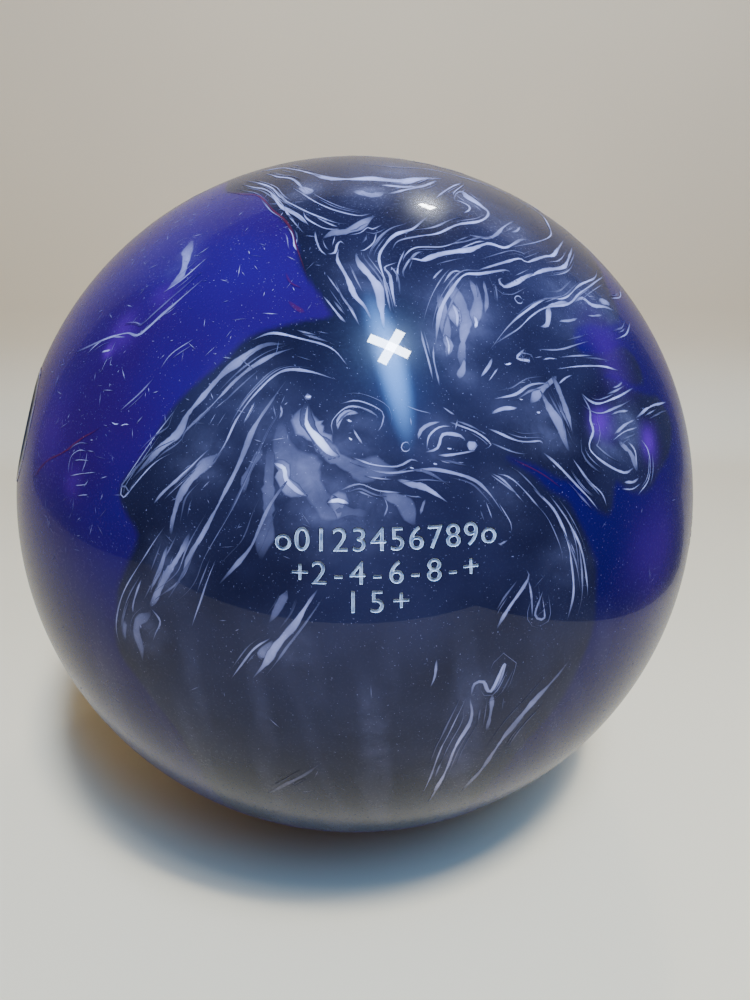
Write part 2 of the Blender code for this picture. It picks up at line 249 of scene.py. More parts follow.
    (6.0, 0.26, (-8.6, 8), (-7.6, 4.6), (-5.4, 1.2), (-2.6, -1.2), (1, -2.2)),
    (4.2, 0.30, (-5.6, 10.2), (-5.3, 7.4), (-3.4, 4.8), (0.4, 3.0), (4.6, 2.2)),
    (3.6, 0.26, (-9.8, 5.4), (-9.6, 1.2), (-10.2, -3.4), (-10.8, -7)),
    (2.6, 0.24, (2.4, 0.2), (4.8, -1.2), (6.4, -3.8)),
    # painted highlights: white glints painted into the colour
    (1.7, 1.7, (-5.5, 9.9), (-5.6, 7.8), (-4.6, 6.2), (-3.2, 4.8), (-2.0, 4.2)),
    (1.3, 1.6, (-9.2, 3.6), (-8.1, 3), (-7.9, 1.7), (-6.8, 0.6), (-5.5, -0.1)),
    (1.4, 1.5, (-3.4, -0.8), (-2.2, -0.6), (-1.0, -0.9)),
    (0.7, 1.5, (-5.9, 10.9), (-5.5, 10.8), (-5.1, 10.9)),
    # the two eyes and the ridge between them
    (0.5, 0.8, (-2, 10), (0.1, 10.3), (2.7, 9.1), (2.6, 7.5), (2.1, 6.9)),
    (0.5, 0.8, (-2.7, 6.5), (-2.8, 8.1), (-1, 9.7), (1.5, 9.1), (2.3, 8.3)),
    (1.1, 0.9, (-2.2, 7.1), (-2.1, 8.1), (-1.3, 8.9), (0.1, 8.9)),
    (0.5, 0.7, (-0.5, 7.2), (0, 6.3), (0.5, 5.5)),
    (0.8, 0.8, (6.6, 6), (7, 7), (8, 7.7), (9.2, 8)),
    (0.6, 0.8, (7.5, 4.8), (7.8, 6.4), (9, 7.4), (10.4, 7.5)),
    (0.8, 0.8, (7.3, 4.6), (8.7, 5.1), (9.4, 6.6), (11.4, 6.4), (12, 5.8)),
    (1.8, 0.6, (12.1, 5.5), (12.7, 5.5), (13.4, 5.4)),
    (0.6, 0.6, (8.7, 4.3), (10.3, 4.3), (13.2, 4.8)),
    (0.5, 0.6, (8.9, 3.8), (9.8, 3.5), (11.8, 3.5)),
    (0.5, 0.6, (9.5, 9.7), (10.2, 9.2), (10.9, 8.8)),
    (0.5, 0.7, (10.2, 8), (13.3, 6.9), (15, 5.5), (14.1, 5)),
    (0.5, 0.6, (11.8, 8), (13.4, 7.2), (14.6, 6.6)),
    (0.7, 0.7, (14.7, 7.3), (18.5, 6), (21.4, 6), (21.6, 5.6)),
    (0.4, 0.5, (5.4, 9.8), (6.6, 9.3), (8.2, 8.9)),
    (0.6, 0.8, (-0.7, 4.1), (1.5, 3.3), (4.2, 3.1), (5.8, 3.8), (6.6, 3.5)),
    (0.8, 0.55, (0, 3.2), (3, 2.4), (7.8, 2.7), (12.2, 1.9), (14.4, 0.3), (16.6, -2.5)),
    (1.5, 0.7, (4.2, 1.6), (5.9, 1.1), (7.2, 0.9), (9.8, -0.9)),
    (0.6, 0.6, (-2, 0.5), (0.1, 1.2), (2.1, 0.5), (4.7, 0.2)),
    (0.5, 0.5, (2.7, -0.2), (3.1, -1.2), (2.7, -2.4)),
    (1.2, 0.3, (7.3, -0.5), (7, -1.3), (6.7, -2.2)),
    (0.6, 0.5, (14.2, -0.8), (15, -2.8), (15.7, -5.5), (17, -5.2)),
    (0.4, 0.5, (14.8, 2.2), (16.4, 1.1), (18, 0)),
    # right lobe
    (0.9, 0.8, (20.1, 0.7), (23, -1.9), (25.2, -5.5), (26.1, -8.4), (27, -12.3), (26.7, -15.5)),
    (0.6, 0.7, (22.2, 0), (25.2, -3.3), (27.6, -7.1), (29.2, -11.4), (29.3, -12.9)),
    (0.5, 0.5, (15.8, -1), (17.3, -3.3), (17.4, -4.3)),
    (0.5, 0.6, (15, 2.3), (16.5, 1.4), (19, -1)),
    (0.5, 0.6, (15.5, 2.3), (17.6, 1.6), (21.1, -1.7)),
    (0.8, 0.7, (21.7, 4.7), (24.2, 2.8), (28, -0.3), (30, -2.1)),
    (0.7, 0.7, (25.9, 4.1), (28, 1.7), (30.5, 0), (31.4, -1.6)),
    (2.0, 0.4, (22.2, 12), (24, 8.4), (24.7, 6.7), (25.5, 4.9)),
    (1.6, 0.35, (24.2, 14), (25.6, 10.4), (26.2, 7)),
    # pearl patch at the right
    (0.9, 0.9, (28.5, 12), (29.5, 10.1), (29.3, 8.7), (29.6, 7.4), (28.8, 5.3), (31.6, 3.4),
     (34.8, 2.5), (37, 3.2)),
    (0.7, 0.7, (34.7, 1.3), (36.6, 1.3), (38, 1.9)),
    (0.4, 0.6, (34.2, 0.5), (36.4, 0.5), (38.4, 1.2)),
    (1.0, 0.9, (38.5, 9.5), (41.5, 10.8), (45, 11.8), (49.5, 12.6)),
    (0.9, 0.7, (36, 6.4), (37.5, 5.2), (37.5, 3)),
    (1.2, 0.6, (33.4, 7.2), (35.6, 8.4), (38.4, 9.3)),
    (0.5, 0.8, (33, 6.4), (35.6, 7.6), (38.8, 8.4)),
    (0.6, 0.6, (33.2, 9.6), (35.2, 10.2), (37.2, 10.4)),
    (0.5, 0.9, (39.2, 6.8), (40.6, 5.6), (41, 3.7), (40.2, 1.6), (37.5, -0.4)),
    (2.4, 0.35, (34.2, 6.4), (36.4, 5), (37.6, 2.6)),
    # below the middle
    (1.0, 0.6, (19.6, -8.6), (20, -9.8), (17.8, -13), (16.5, -15.7)),
    (0.5, 0.5, (20, -9.8), (20.6, -11.4), (21.2, -14.6)),
    (0.7, 0.5, (22.2, -11.3), (21.6, -14.2), (23, -14.7), (22.2, -11.8)),
    (1.0, 0.45, (9.3, -19), (9.2, -21.3), (8.8, -22.8)),
    (1.2, 0.8, (14.5, -24.5), (14.7, -22.8), (15.9, -22.6), (17.2, -24), (18.4, -20.3), (18.2, -23),
     (17.6, -24.3)),
    (1.2, 0.8, (14.4, -24.7), (15.2, -28), (14, -33.5), (13.5, -41), (13, -46)),
    (0.5, 0.6, (13.9, -24.5), (12.3, -30.8), (11.7, -34), (11, -44)),
    (1.5, 0.4, (17.6, -24.5), (17.9, -26.8), (18.3, -30.5)),
    (1.5, 0.45, (28.9, -20.9), (25.3, -26), (22.2, -31), (20, -40), (19, -44)),
    (1.6, 0.7, (-4, -9.5), (-7.5, -14.3), (-10.2, -17.8), (-13.4, -21.5)),
    (0.6, 0.6, (-10.4, -16.1), (-13, -17.9), (-16.3, -21.7)),
    (2.0, 0.5, (-10.2, -16.4), (-11.2, -17.5), (-12.2, -18.8)),
    (1.5, 0.35, (-8, -10.3), (-9, -12.4), (-10.5, -14.3)),
    (1.2, 0.35, (-6, -35), (-11, -39), (-17, -43)),
    # glints in the blue at the left, painted into the colour as highlights; the two strongest are painted
    # white
    (2.5, 0.5, (-26.5, 35), (-26, 32.8), (-25.5, 28.4), (-27, 26)),
    (0.6, 0.6, (-21.8, 30.8), (-25, 27.5), (-27.5, 25.8)),
    (0.7, 0.6, (-20.8, 27.5), (-24.8, 23.8), (-29, 20.2), (-31.8, 20.6), (-36.5, 20.2), (-43, 19.3)),
    (0.8, 0.8, (-34, 18.5), (-35, 18.5), (-36, 18.4)),
    (0.4, 0.5, (-20.3, 18.6), (-23.2, 16.9), (-24.5, 15)),
    (0.4, 0.4, (-25.2, 14), (-27.4, 12), (-30, 10.2)),
    (0.5, 0.8, (-39.6, 18.6), (-37.4, 19.9), (-35, 20.4), (-31.6, 20)),
    (0.4, 1.3, (-31.2, 9), (-30.5, 8.7), (-29.8, 8.7)),
    (0.4, 1.3, (-29.6, 8.4), (-28.9, 8.6), (-28.1, 8.5)),
    # a looped scratch with rungs, low on the left
    (0.35, 0.7, (-35.2, 5.6), (-36.8, 5.8), (-38.3, 5.3), (-38.9, 4.4), (-39, 2.9)),
    (0.5, 0.5, (-35.2, 5.6), (-35.4, 4.3), (-36.1, 3)),
    (0.3, 0.8, (-37.8, 4.6), (-36.2, 4.6), (-34.6, 4.4)),
    (0.3, 0.9, (-38.7, 2.7), (-36, 2.9), (-33.2, 3)),
    (0.3, 0.6, (-37.4, 1.5), (-36, 1.5), (-34.8, 1.6)),
    (0.3, 0.7, (-37, 0.2), (-35.8, 0.3), (-34.6, 0.3)),
    # glints and rings in the middle; the glints are painted highlights, white painted into the colour
    (0.5, 1.5, (-1.1, 8.3), (-0.9, 8.1), (-0.6, 8)),
    (0.4, 1.5, (-1, 6.3), (-0.8, 6.1), (-0.6, 6)),
    (0.4, 1.5, (9.8, 5.1), (10.1, 5), (10.4, 5)),
    (0.4, 1.4, (5.6, 2.9), (5.8, 2.9), (6.1, 2.8)),
    (0.4, 1.4, (8.2, 3.4), (8.4, 3.3), (8.7, 3.3)),
    (0.4, 1.4, (19.1, 10.9), (19.3, 10.8), (19.6, 10.8)),
    (0.4, 1.4, (21.2, 9.4), (21.5, 9.3), (21.8, 9.4)),
    (0.5, 1.3, (17.7, 15), (18.2, 15), (18.7, 15.2)),
    (0.5, 0.8, (23.3, 15.9), (24.4, 16.2), (25.6, 16.2)),
    (0.3, 0.8, (22.4, 24), (22.1, 24.5), (21.6, 24.5), (21.2, 24.1), (21.5, 23.5), (22.1, 23.5),
     (22.4, 24)),
    (0.3, 0.7, (5.7, 5.2), (5.4, 5.7), (4.9, 5.6), (4.7, 5.1), (5, 4.7), (5.5, 4.8), (5.7, 5.2)),
)
RUST = (
    (0.6, 0.9, (-27, 47), (-22, 45), (-18, 43.5), (-13.5, 39), (-10, 35), (-7.7, 29.5), (-6.3, 26)),
    (0.9, 0.5, (-8.6, 22.9), (-7.6, 21.9), (-6.3, 21.2)),
    (0.7, 0.9, (-33, 8.5), (-34.6, 7.9), (-36.3, 7.4), (-39.2, 6.1), (-41.5, 5.5), (-44.9, 4.8),
     (-50, 2.5)),
    (0.4, 0.5, (-9.3, 27), (-8.4, 25.4), (-7, 24.6)),
    (0.4, 0.5, (24.5, 0.4), (21.5, 2.2), (17.5, 4)),
)
# The blue resin's shore, left and right of the dark middle
LEFT_SHORE = (
    (-40, 60), (-27, 47.5), (-18, 43.8), (-13.5, 39), (-10, 35), (-7.7, 29.5), (-6.3, 26), (-4.6, 22),
    (-3.6, 19.8),
    (-8, 19.6), (-13, 18.3), (-17, 14.5), (-21.5, 10), (-26, 5), (-29.3, 0), (-26.3, -4), (-28.7, -8.5),
    (-31.8, -13.5), (-33.5, -20), (-31, -26), (-28, -32), (-30, -45), (-36, -60), (-90, -60), (-90, 60),
)
RIGHT_SHORE = (
    (62, 46), (52, 40), (46, 32), (42, 24), (31, 21), (30, 17), (41, 19), (42, 15), (33, 14.6),
    (46, 13), (50, 9),
    (44, 3), (38, 0), (33, 1), (31.5, -2.6), (26, 0.8), (20.3, 3.2), (17, 4.2), (22, 0.6), (26.4, -2.1),
    (29.4, -7), (31.2, -12.6), (31.7, -20), (29, -30), (26, -38), (24, -60), (90, -60), (90, 50),
)
# Soft blobs: across, up, reach in degrees, strength
CLOUDS = (
    (13.3, 22, 4.2, 0.5), (10.8, 17.5, 2.6, 0.4), (12.2, 13.3, 1.6, 0.5), (-6, 2, 5.0, 0.40),
    (-1, -2, 5, 0.30), (-9, 8, 3, 0.25), (36, 8, 2.8, 0.6),
    (31.5, 6, 2.4, 0.35), (2, 43, 3.5, 0.35), (-9, 44, 3, 0.35), (21, 43, 3, 0.3), (1, 26, 3.4, 0.35),
    (-13, 12, 4, 0.22), (-18, 4, 3.4, 0.3), (-22, -8, 3.2, 0.3), (-28, -16, 3, 0.3), (9, 6, 3, 0.25),
    (18, 10, 4, 0.2), (23, 8, 3, 0.28), (30, 26, 5, 0.25), (38, 26, 4, 0.3), (26, 38, 5, 0.22),
    (0, 7, 2.6, 0.25), (16, 0, 3, 0.15), (25, -8, 3, 0.2), (16, -24, 3, 0.25), (14, -36, 3.6, 0.22),
    (-9, -17, 3, 0.2), (2, -30, 6, 0.1), (-12, -41, 4, 0.12), (-26, 31, 2.6, 0.25), (8, 50, 7, 0.2),
)
VIOLETS = (
    (31.5, 8.5, 1.8, 0.9), (41.5, 6.5, 2.0, 0.9), (-33, 21, 2.2, 0.45), (-27, 25, 2.0, 0.25),
    (36, 20, 4, 0.25),
    (-38, 2, 2.0, 0.3), (-46, 8, 6, 0.25), (44, -8, 7, 0.25), (36, 15, 3, 0.2), (-34.6, 18.6, 0.9, 0.8),
)


# ---- places ----

def direction(place):
    """Unit vector of an (azimuth, elevation) in degrees; azimuth 0 is the front, -Y."""
    azimuth, elevation = (math.radians(angle) for angle in place)
    flat = math.cos(elevation)
    return Vector((flat * math.sin(azimuth), -flat * math.cos(azimuth), math.sin(elevation)))


def facing(outward):
    """Turns +Z to point outward, with +X level."""
    out = outward.normalized()
    across = Vector((0.0, 0.0, 1.0)).cross(out).normalized()
    return Matrix((across, out.cross(across), out)).transposed().to_4x4()


def face_turn():
    """Turns the face's own axes to the world's."""
    return np.array(Matrix.Rotation(math.radians(-CAMERA_ELEVATION), 3, "X"))


def on_face(across, up):
    """Unit vectors of places on the face."""
    across, up = np.radians(np.asarray(across, float)), np.radians(np.asarray(up, float))
    plain = np.stack([np.cos(up) * np.sin(across), -np.cos(up) * np.cos(across), np.sin(up)], -1)
    return plain @ face_turn().T


def to_face(points, turn=None):
    """(across, up) in degrees of points on the ball."""
    flat = points @ face_turn() if turn is None else points @ turn @ face_turn()
    flat = flat / np.linalg.norm(flat, axis=1, keepdims=True)
    return np.degrees(np.arctan2(flat[:, 0], -flat[:, 1])), np.degrees(np.arcsin(np.clip(flat[:, 2], -1, 1)))


# ---- objects ----

def add_object(name, mesh, matrix=None, look=None):
    made = bpy.data.objects.new(name, mesh)
    bpy.context.scene.collection.objects.link(made)
    if matrix is not None:
        made.matrix_world = matrix
    if look is not None:
        mesh.materials.append(look)
    return made


def mesh_from(name, points, faces):
    mesh = bpy.data.meshes.new(name)
    mesh.from_pydata([tuple(p) for p in points], [], faces)
    mesh.update()
    return mesh


def turned_mesh(name, outline, segments):
    """A closed solid of revolution about Z from (radius, height) points that start and end on the axis."""
    points, faces, rings = [], [], []
    for radius, height in outline:
        count = 1 if radius < 1e-9 else segments
        rings.append([len(points) + i for i in range(count)])
        for i in range(count):
            angle = 2 * math.pi * i / segments
            points.append((radius * math.cos(angle), radius * math.sin(angle), height))
    for upper, lower in zip(rings, rings[1:]):
        for i in range(segments):
            j = (i + 1) % segments
            corners = [upper[i % len(upper)], lower[i % len(lower)]]
            corners += [lower[j % len(lower)], upper[j % len(upper)]]
            faces.append([c for k, c in enumerate(corners) if c not in corners[:k]])
    return mesh_from(name, points, faces)


# ---- shader nodes ----

class Look:
    """A principled material and short ways to wire its nodes."""

    def __init__(self, name):
        self.material = bpy.data.materials.new(name)
        self.material.use_nodes = True
        self.tree = self.material.node_tree
        self.shader = self.tree.nodes["Principled BSDF"]
        self.coordinates = self.tree.nodes.new("ShaderNodeTexCoord").outputs["Object"]

    def put(self, socket, value):
        if hasattr(value, "node"):
            self.tree.links.new(value, socket)
        else:
            socket.default_value = value

    def set(self, **values):
        for name, value in values.items():
            self.put(self.shader.inputs[name.replace("_", " ")], value)

    def attribute(self, name):
        node = self.tree.nodes.new("ShaderNodeAttribute")
        node.attribute_name = name
        return node.outputs["Fac"]

    def noise(self, scale, detail=4.0, roughness=0.55, distortion=0.0):
        node = self.tree.nodes.new("ShaderNodeTexNoise")
        node.inputs["Scale"].default_value = scale
        node.inputs["Detail"].default_value = detail
        node.inputs["Roughness"].default_value = roughness
        node.inputs["Distortion"].default_value = distortion
        self.tree.links.new(self.coordinates, node.inputs["Vector"])
        return node.outputs["Fac"]

    def remap(self, value, low, high, to_low=0.0, to_high=1.0):
        node = self.tree.nodes.new("ShaderNodeMapRange")
        for name, number in (("From Min", low), ("From Max", high), ("To Min", to_low), ("To Max", to_high)):
            node.inputs[name].default_value = number
        self.tree.links.new(value, node.inputs["Value"])
        return node.outputs["Result"]

    def math(self, operation, first, second, clamp=False):
        node = self.tree.nodes.new("ShaderNodeMath")
        node.operation = operation
        node.use_clamp = clamp
        self.put(node.inputs[0], first)
        self.put(node.inputs[1], second)
        return node.outputs[0]

    def mix(self, factor, first, second):
        node = self.tree.nodes.new("ShaderNodeMix")
        node.data_type = "RGBA"
        self.put(node.inputs["Factor"], factor)
        for socket, value in ((node.inputs[6], first), (node.inputs[7], second)):
            self.put(socket, (*value, 1.0) if isinstance(value, tuple) else value)
        return node.outputs[2]

    def bump(self, height, strength, distance=0.0002):
        node = self.tree.nodes.new("ShaderNodeBump")
        node.inputs["Strength"].default_value = strength
        node.inputs["Distance"].default_value = distance
        self.tree.links.new(height, node.inputs["Height"])
        self.tree.links.new(node.outputs["Normal"], self.shader.inputs["Normal"])


DARK = (0.0062, 0.0062, 0.0185)
SMOKE = (0.016, 0.016, 0.040)
BLUE = (0.0190, 0.0010, 0.103)
INDIGO = (0.0180, 0.0010, 0.066)
# deeper blue of the right lobe, also the painted shade low on the face
DEEP_AND_SHADE = (0.0030, 0.0004, 0.042)
PEARL = (0.50, 0.47, 0.72)
PEARL_GREY = (0.19, 0.18, 0.29)
# white of the painted highlights
PAINTED_GLINT = (0.95, 0.95, 1.0)
VIOLET = (0.090, 0.008, 0.22)
RUST_RED = (0.10, 0.010, 0.022)


def marbled_resin():
    look = Look("marbled_resin")
    broad = look.noise(32, 3)
    fine = look.noise(230, 5, 0.6, 0.6)
    grain = look.noise(1500, 3, 0.6)
    dark = look.mix(look.remap(broad, 0.35, 0.7), DARK, SMOKE)
    blue = look.mix(look.remap(look.noise(24, 2), 0.35, 0.68), BLUE, INDIGO)
    # deeper blue in the right lobe, and painted shade darkening the blue towards the bottom of the face
    blue = look.mix(look.attribute("deep_and_shade"), blue, DEEP_AND_SHADE)
    colour = look.mix(look.attribute("blue"), dark, blue)
    haze = look.math("MULTIPLY", look.attribute("haze"), look.remap(fine, 0.3, 0.75, 0.35, 1.0), True)
    colour = look.mix(haze, colour, PEARL_GREY)
    colour = look.mix(look.attribute("violet"), colour, VIOLET)
    streak = look.math("MULTIPLY", look.attribute("vein_and_glint"), look.remap(fine, 0.3, 0.7, 0.72, 1.0), True)
    colour = look.mix(streak, colour, PEARL)
    # vein strengths over 1 fade to white: painted highlights
    colour = look.mix(look.remap(look.attribute("vein_and_glint"), 1.0, 1.8), colour, PAINTED_GLINT)
    colour = look.mix(look.attribute("rust"), colour, RUST_RED)
    specks = look.remap(look.noise(2600, 1, 0.5), 0.72, 0.80, 0.0, 0.35)
    colour = look.mix(specks, colour, PEARL)
    look.set(Base_Color=colour, Roughness=look.remap(grain, 0.3, 0.7, 0.20, 0.30), Metallic=0.0)
    look.set(Coat_Weight=0.125, Coat_Roughness=0.018, Coat_IOR=2.05, IOR=1.15, Specular_IOR_Level=0.5)
    look.shader.inputs["Specular Tint"].default_value = (0.45, 0.65, 1.0, 1.0)
    look.bump(grain, 0.02, 0.00005)
    return look.material


def matte(name, first, second, scale, roughness, bump, coat=0.0):
    """A plain cast or moulded finish with mottled colour and a fine grain."""
    look = Look(name)
    mottle = look.noise(scale, 5, 0.6)
    grain = look.noise(scale * 9, 3, 0.6)
    look.set(Base_Color=look.mix(look.remap(mottle, 0.3, 0.7), first, second))
    look.set(Roughness=look.remap(grain, 0.3, 0.7, roughness - 0.06, roughness + 0.06), Coat_Weight=coat)
    look.bump(grain, bump)
    return look.material


def engraving_paint():
    """Enamel that is bright at the rim of each stroke and dark in its middle."""
    look = Look("engraving_enamel")
    mottle = look.noise(620, 4)
    bright = look.mix(look.remap(mottle, 0.3, 0.7), (0.66, 0.75, 0.80), (0.88, 0.96, 1.0))
    # darker colour for the middle of each stroke
    thin = look.mix(look.remap(mottle, 0.35, 0.65), (0.10, 0.13, 0.20), (0.34, 0.40, 0.48))
    look.set(Base_Color=look.mix(look.attribute("dark_middle"), bright, thin), Roughness=0.38)
    look.bump(look.noise(2600, 3), 0.2)
    return look.material


# ---- marbling fields ----

def spline(before, start, end, after, t):
    """The place a part `t` of the way from `start` to `end` on a smooth curve through four knots."""
    straight = 2 * start + (end - before) * t
    bend = (2 * before - 5 * start + 4 * end - after) * t ** 2
    return 0.5 * (straight + bend + (3 * start - before - 3 * end + after) * t ** 3)


def smooth_path(places, step=0.5):
    """Unit vectors about `step` degrees apart on a smooth curve through places on the face."""
    knots = on_face(*zip(*places))
    ends = [2 * knots[0] - knots[1], *knots, 2 * knots[-1] - knots[-2]]
    path = []
    for before, start, end, after in zip(ends, ends[1:], ends[2:], ends[3:]):
        gap = math.degrees(math.acos(max(-1.0, min(1.0, float(start @ end)))))
        count = max(2, round(gap / step))
        for t in np.arange(count) / count:
            path.append(spline(before, start, end, after, t))
    path.append(knots[-1])
    path = np.array(path)
    return path / np.linalg.norm(path, axis=1, keepdims=True)


def inside(across, up, outline, soft):
    """1 inside a closed outline on the face and 0 outside, over `soft` degrees at its edge."""
    corners = np.array(outline, float)
    ends = np.roll(corners, -1, axis=0)
    crossing = np.zeros(len(across), bool)
    near = np.full(len(across), 1e9)
    for (ax, ay), (bx, by) in zip(corners, ends):
        straddles = (ay > up) != (by > up)
        with np.errstate(divide="ignore", invalid="ignore"):
            crossing ^= straddles & (across < (bx - ax) * (up - ay) / (by - ay) + ax)
        length = (bx - ax) ** 2 + (by - ay) ** 2
        t = np.clip(((across - ax) * (bx - ax) + (up - ay) * (by - ay)) / length, 0, 1)
        near = np.minimum(near, np.hypot(across - ax - t * (bx - ax), up - ay - t * (by - ay)))
    signed = np.where(crossing, near, -near)
    t = np.clip(0.5 + signed / soft, 0, 1)
    return t * t * (3 - 2 * t)


def smooth_outline(outline, curved):
    """The first `curved` corners joined by a smooth curve, the rest by straight lines."""
    path = []
    knots = [np.array(p, float) for p in outline[:curved]]
    ends = [knots[0], *knots, knots[-1]]
    for before, start, end, after in zip(ends, ends[1:], ends[2:], ends[3:]):
        for t in (0, 0.25, 0.5, 0.75):
            path.append(tuple(spline(before, start, end, after, t)))
    return path + [tuple(map(float, p)) for p in outline[curved - 1:]]


def wobble(points, scale, seed):
    """Smooth noise in -1..1 from a few crossed waves."""
    rng = np.random.default_rng(seed)
    total = np.zeros(len(points))
    for _ in range(7):
        wave = rng.normal(size=3) * scale
        total += np.sin(points @ wave + rng.uniform(0, 6.28))
    return total / 3.5


LEFT_OUTLINE = smooth_outline(LEFT_SHORE, 23)
RIGHT_OUTLINE = smooth_outline(RIGHT_SHORE, 26)
# Other sides of the ball repeat the marbling, turned, outside the face: azimuth, elevation, roll
COPIES = ((180, 12, 150), (88, -22, 75), (-96, -30, 200), (10, -96, 40), (175, 74, 260))
FACE_REACH = 61.0


def copy_turn(copy):
    """Turns the face's places to one of the copies."""
    azimuth, elevation, roll = (math.radians(a) for a in copy)
    lifted = Matrix.Rotation(azimuth, 3, "Z") @ Matrix.Rotation(-elevation, 3, "X")
    base = lifted @ Matrix.Rotation(roll, 3, "Y")
    return np.array(base @ Matrix.Rotation(math.radians(CAMERA_ELEVATION), 3, "X"))


TURNS = [np.eye(3)] + [copy_turn(c) for c in COPIES]
CENTRES = np.array([turn @ on_face(0, 0) for turn in TURNS])


def blobs(table, across, up):
    """The sum of a table's soft round blobs at places on the face."""
    total = np.zeros(len(across))
    for a, u, reach, strength in table:
        total += strength * np.exp(-((across - a) ** 2 + (up - u) ** 2) / reach ** 2)
    return total


def fields(points):
    """The soft marbling at points on the ball: blue, its deeper tone with painted shade towards the bottom of
    the face, haze and violet, each 0 to 1.
    """
    unit = points / np.linalg.norm(points, axis=1, keepdims=True)
    angles = np.degrees(np.arccos(np.clip(unit @ CENTRES.T, -1, 1)))
    angles[:, 0] = np.where(angles[:, 0] < FACE_REACH, -200.0, angles[:, 0] + 40)
    owner = np.argmin(angles, axis=1)
    blue, deep_and_shade, haze, violet = (np.zeros(len(unit)) for _ in range(4))
    for index, turn in enumerate(TURNS):
        mine = owner == index
        if not mine.any():
            continue
        across, up = to_face(unit[mine], turn)
        spot = unit[mine] @ turn
        across = across + 0.5 * wobble(spot, 26, 5)
        up = up + 0.5 * wobble(spot, 26, 6)
        on_left, on_right = inside(across, up, LEFT_OUTLINE, 0.9), inside(across, up, RIGHT_OUTLINE, 1.1)
        blue[mine] = np.maximum(on_left, on_right)
        # deeper tone: the right lobe's own deeper blue, plus painted shade that grows towards the bottom
        low = np.clip((6 - up) / 22, 0, 1)
        deep_and_shade[mine] = np.where(on_right > on_left, 0.74 + 0.2 * low, 0.8 * low)
        haze[mine], violet[mine] = blobs(CLOUDS, across, up), blobs(VIOLETS, across, up)
    haze *= 0.75 + 0.35 * wobble(unit, 60, 9)
    # a faint streaked grey veil that grows towards the bottom of the face
    low = np.clip((-12 - to_face(unit)[1]) / 14, 0, 1) * (angles[:, 0] < 0)
    haze += 0.13 * low * np.clip(wobble(unit * np.array((1.0, 0.30, 0.12)), 75, 31), 0, 1)
    return {"blue": blue, "deep_and_shade": deep_and_shade, "haze": np.clip(haze, 0, 1), "violet": np.clip(violet, 0, 0.9)}


def column(collection, name, width, kind=float):
    """One property of a mesh's vertices, corners or faces as an array."""
    values = np.empty(len(collection) * width, kind)
    collection.foreach_get(name, values)
    return values.reshape(-1, width) if width > 1 else values


def write_fields(mesh, extra=None):
    """Stores the marbling as point attributes that the resin's nodes read."""
    values = fields(column(mesh.vertices, "co", 3))
    values.update(extra or {})
    blank = np.zeros(len(mesh.vertices))
    for name in ("blue", "deep_and_shade", "haze", "violet", "vein_and_glint", "rust"):
        made = mesh.attributes.new(name, "FLOAT", "POINT")
        made.data.foreach_set("value", values.get(name, blank).astype(np.float32))


def sphere_normals(mesh, lowest):
    """Shades faces that lie on the ball's surface as a true sphere, and the rest flat."""
    points = column(mesh.vertices, "co", 3)
    reach = np.linalg.norm(points, axis=1)
    corners = column(mesh.loops, "vertex_index", 1, int)
    totals = column(mesh.polygons, "loop_total", 1, int)
    flats = column(mesh.polygons, "normal", 3)
    centres = column(mesh.polygons, "center", 3)
    owner = np.repeat(np.arange(len(totals)), totals)
    far = np.linalg.norm(centres, axis=1)
    radial = (flats * centres).sum(1) / np.maximum(far, 1e-9)
    outer = (far > lowest) & (radial > 0.9)
    normals = flats[owner].copy()
    chosen = outer[owner] & (reach[corners] > lowest)
    normals[chosen] = points[corners[chosen]] / reach[corners[chosen]][:, None]
    mesh.polygons.foreach_set("use_smooth", np.ones(len(totals), bool))
    mesh.normals_split_custom_set([tuple(n) for n in normals])


# ---- veins ----

# Across a vein: place in half widths, and strength
PROFILE = ((-1.15, 0.0), (-0.85, 0.85), (0.0, 1.0), (0.85, 0.85), (1.15, 0.0))


def sideways(path):
    """Unit vectors along the surface, across a path."""
    side = np.cross(path, np.gradient(path, axis=0))
    return side / np.linalg.norm(side, axis=1, keepdims=True)


def ribbon(path, width, strength, height, kind, store, rng, taper=0.22):
    """Adds one vein to the store: a thin strip on the surface whose strength fades to its edges and ends."""
    count = len(path)
    if count < 4:
        return
    along = np.linspace(0, 1, count)
    side = sideways(path)
    ends = np.clip(np.minimum(along, 1 - along) / taper, 0, 1) ** 0.9
    phase = rng.uniform(0, 6.28, 4)
    beat = 1 + 0.30 * np.sin(along * count * 0.22 + phase[0]) + 0.22 * np.sin(along * count * 0.61 + phase[1])
    beat += 0.14 * rng.uniform(-1, 1, count)
    half = 0.5 * width * MM / BALL_RADIUS * (0.16 + 0.84 * ends) * beat
    drift = 0.35 * half * np.sin(along * count * 0.37 + phase[2])
    glow = strength * ends * (0.82 + 0.18 * np.sin(along * count * 0.45 + phase[3]))
    first = len(store["points"])
    for offset, value in PROFILE:
        line = path + side * (drift + offset * half)[:, None]
        line = line / np.linalg.norm(line, axis=1, keepdims=True) * (BALL_RADIUS + height)
        store["points"].extend(line)
        store["vein_and_glint"].extend(glow * value if kind == "vein_and_glint" else np.zeros(count))
        store["rust"].extend(glow * value if kind == "rust" else np.zeros(count))
    for row in range(len(PROFILE) - 1):
        for i in range(count - 1):
            a = first + row * count + i
            store["faces"].append((a, a + 1, a + count + 1, a + count))


def shifted(path, angle):
    """The same path, moved sideways by an angle in radians."""
    moved = path + sideways(path) * angle
    return moved / np.linalg.norm(moved, axis=1, keepdims=True)


def in_the_way(path):
    """Which points of a path lie too near a hole, the pin, the centre mark or a character."""
    blocked = np.zeros(len(path), bool)
    for centre, radius in HOLES:
        blocked |= np.arccos(np.clip(path @ centre, -1, 1)) < radius
    return blocked


def pieces_of(path, keep):
    """The unbroken stretches of a path that are kept."""
    start = None
    for i, good in enumerate([*keep, False]):
        if good and start is None:
            start = i
        elif not good and start is not None:
            if i - start > 3:
                yield path[start:i]
            start = None


